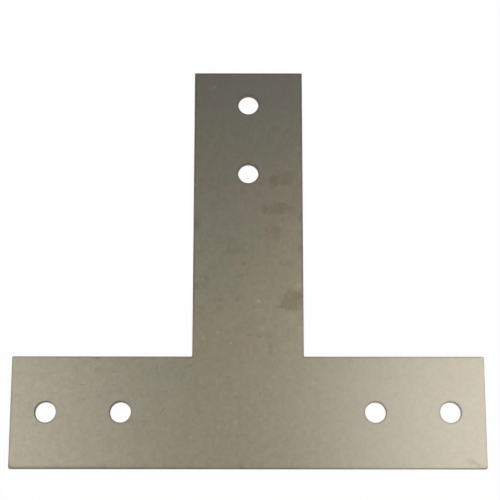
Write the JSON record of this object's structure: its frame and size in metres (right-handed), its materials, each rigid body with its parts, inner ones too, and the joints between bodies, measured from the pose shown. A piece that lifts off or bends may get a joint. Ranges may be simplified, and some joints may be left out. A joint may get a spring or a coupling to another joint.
{
  "type": "extrusion joining plate",
  "caption": "Flat tee-shaped sheet metal plate with a pair of plain bolt holes at each free end, for joining aluminium extrusions at a right angle.",
  "frame": {"origin": "on the underside, where the centrelines of the crossbar and the stem cross", "axes": "+X along the crossbar, +Y up the stem, +Z through the sheet, away from the extrusions"},
  "size_m": [0.19, 0.166, 0.003],
  "materials": {
    "plate_steel": "plain rolled sheet, satin, with cut edges deburred"
  },
  "bodies": {
    "root": {"tee_plate": "plate_steel"}
  },
  "joints": []
}
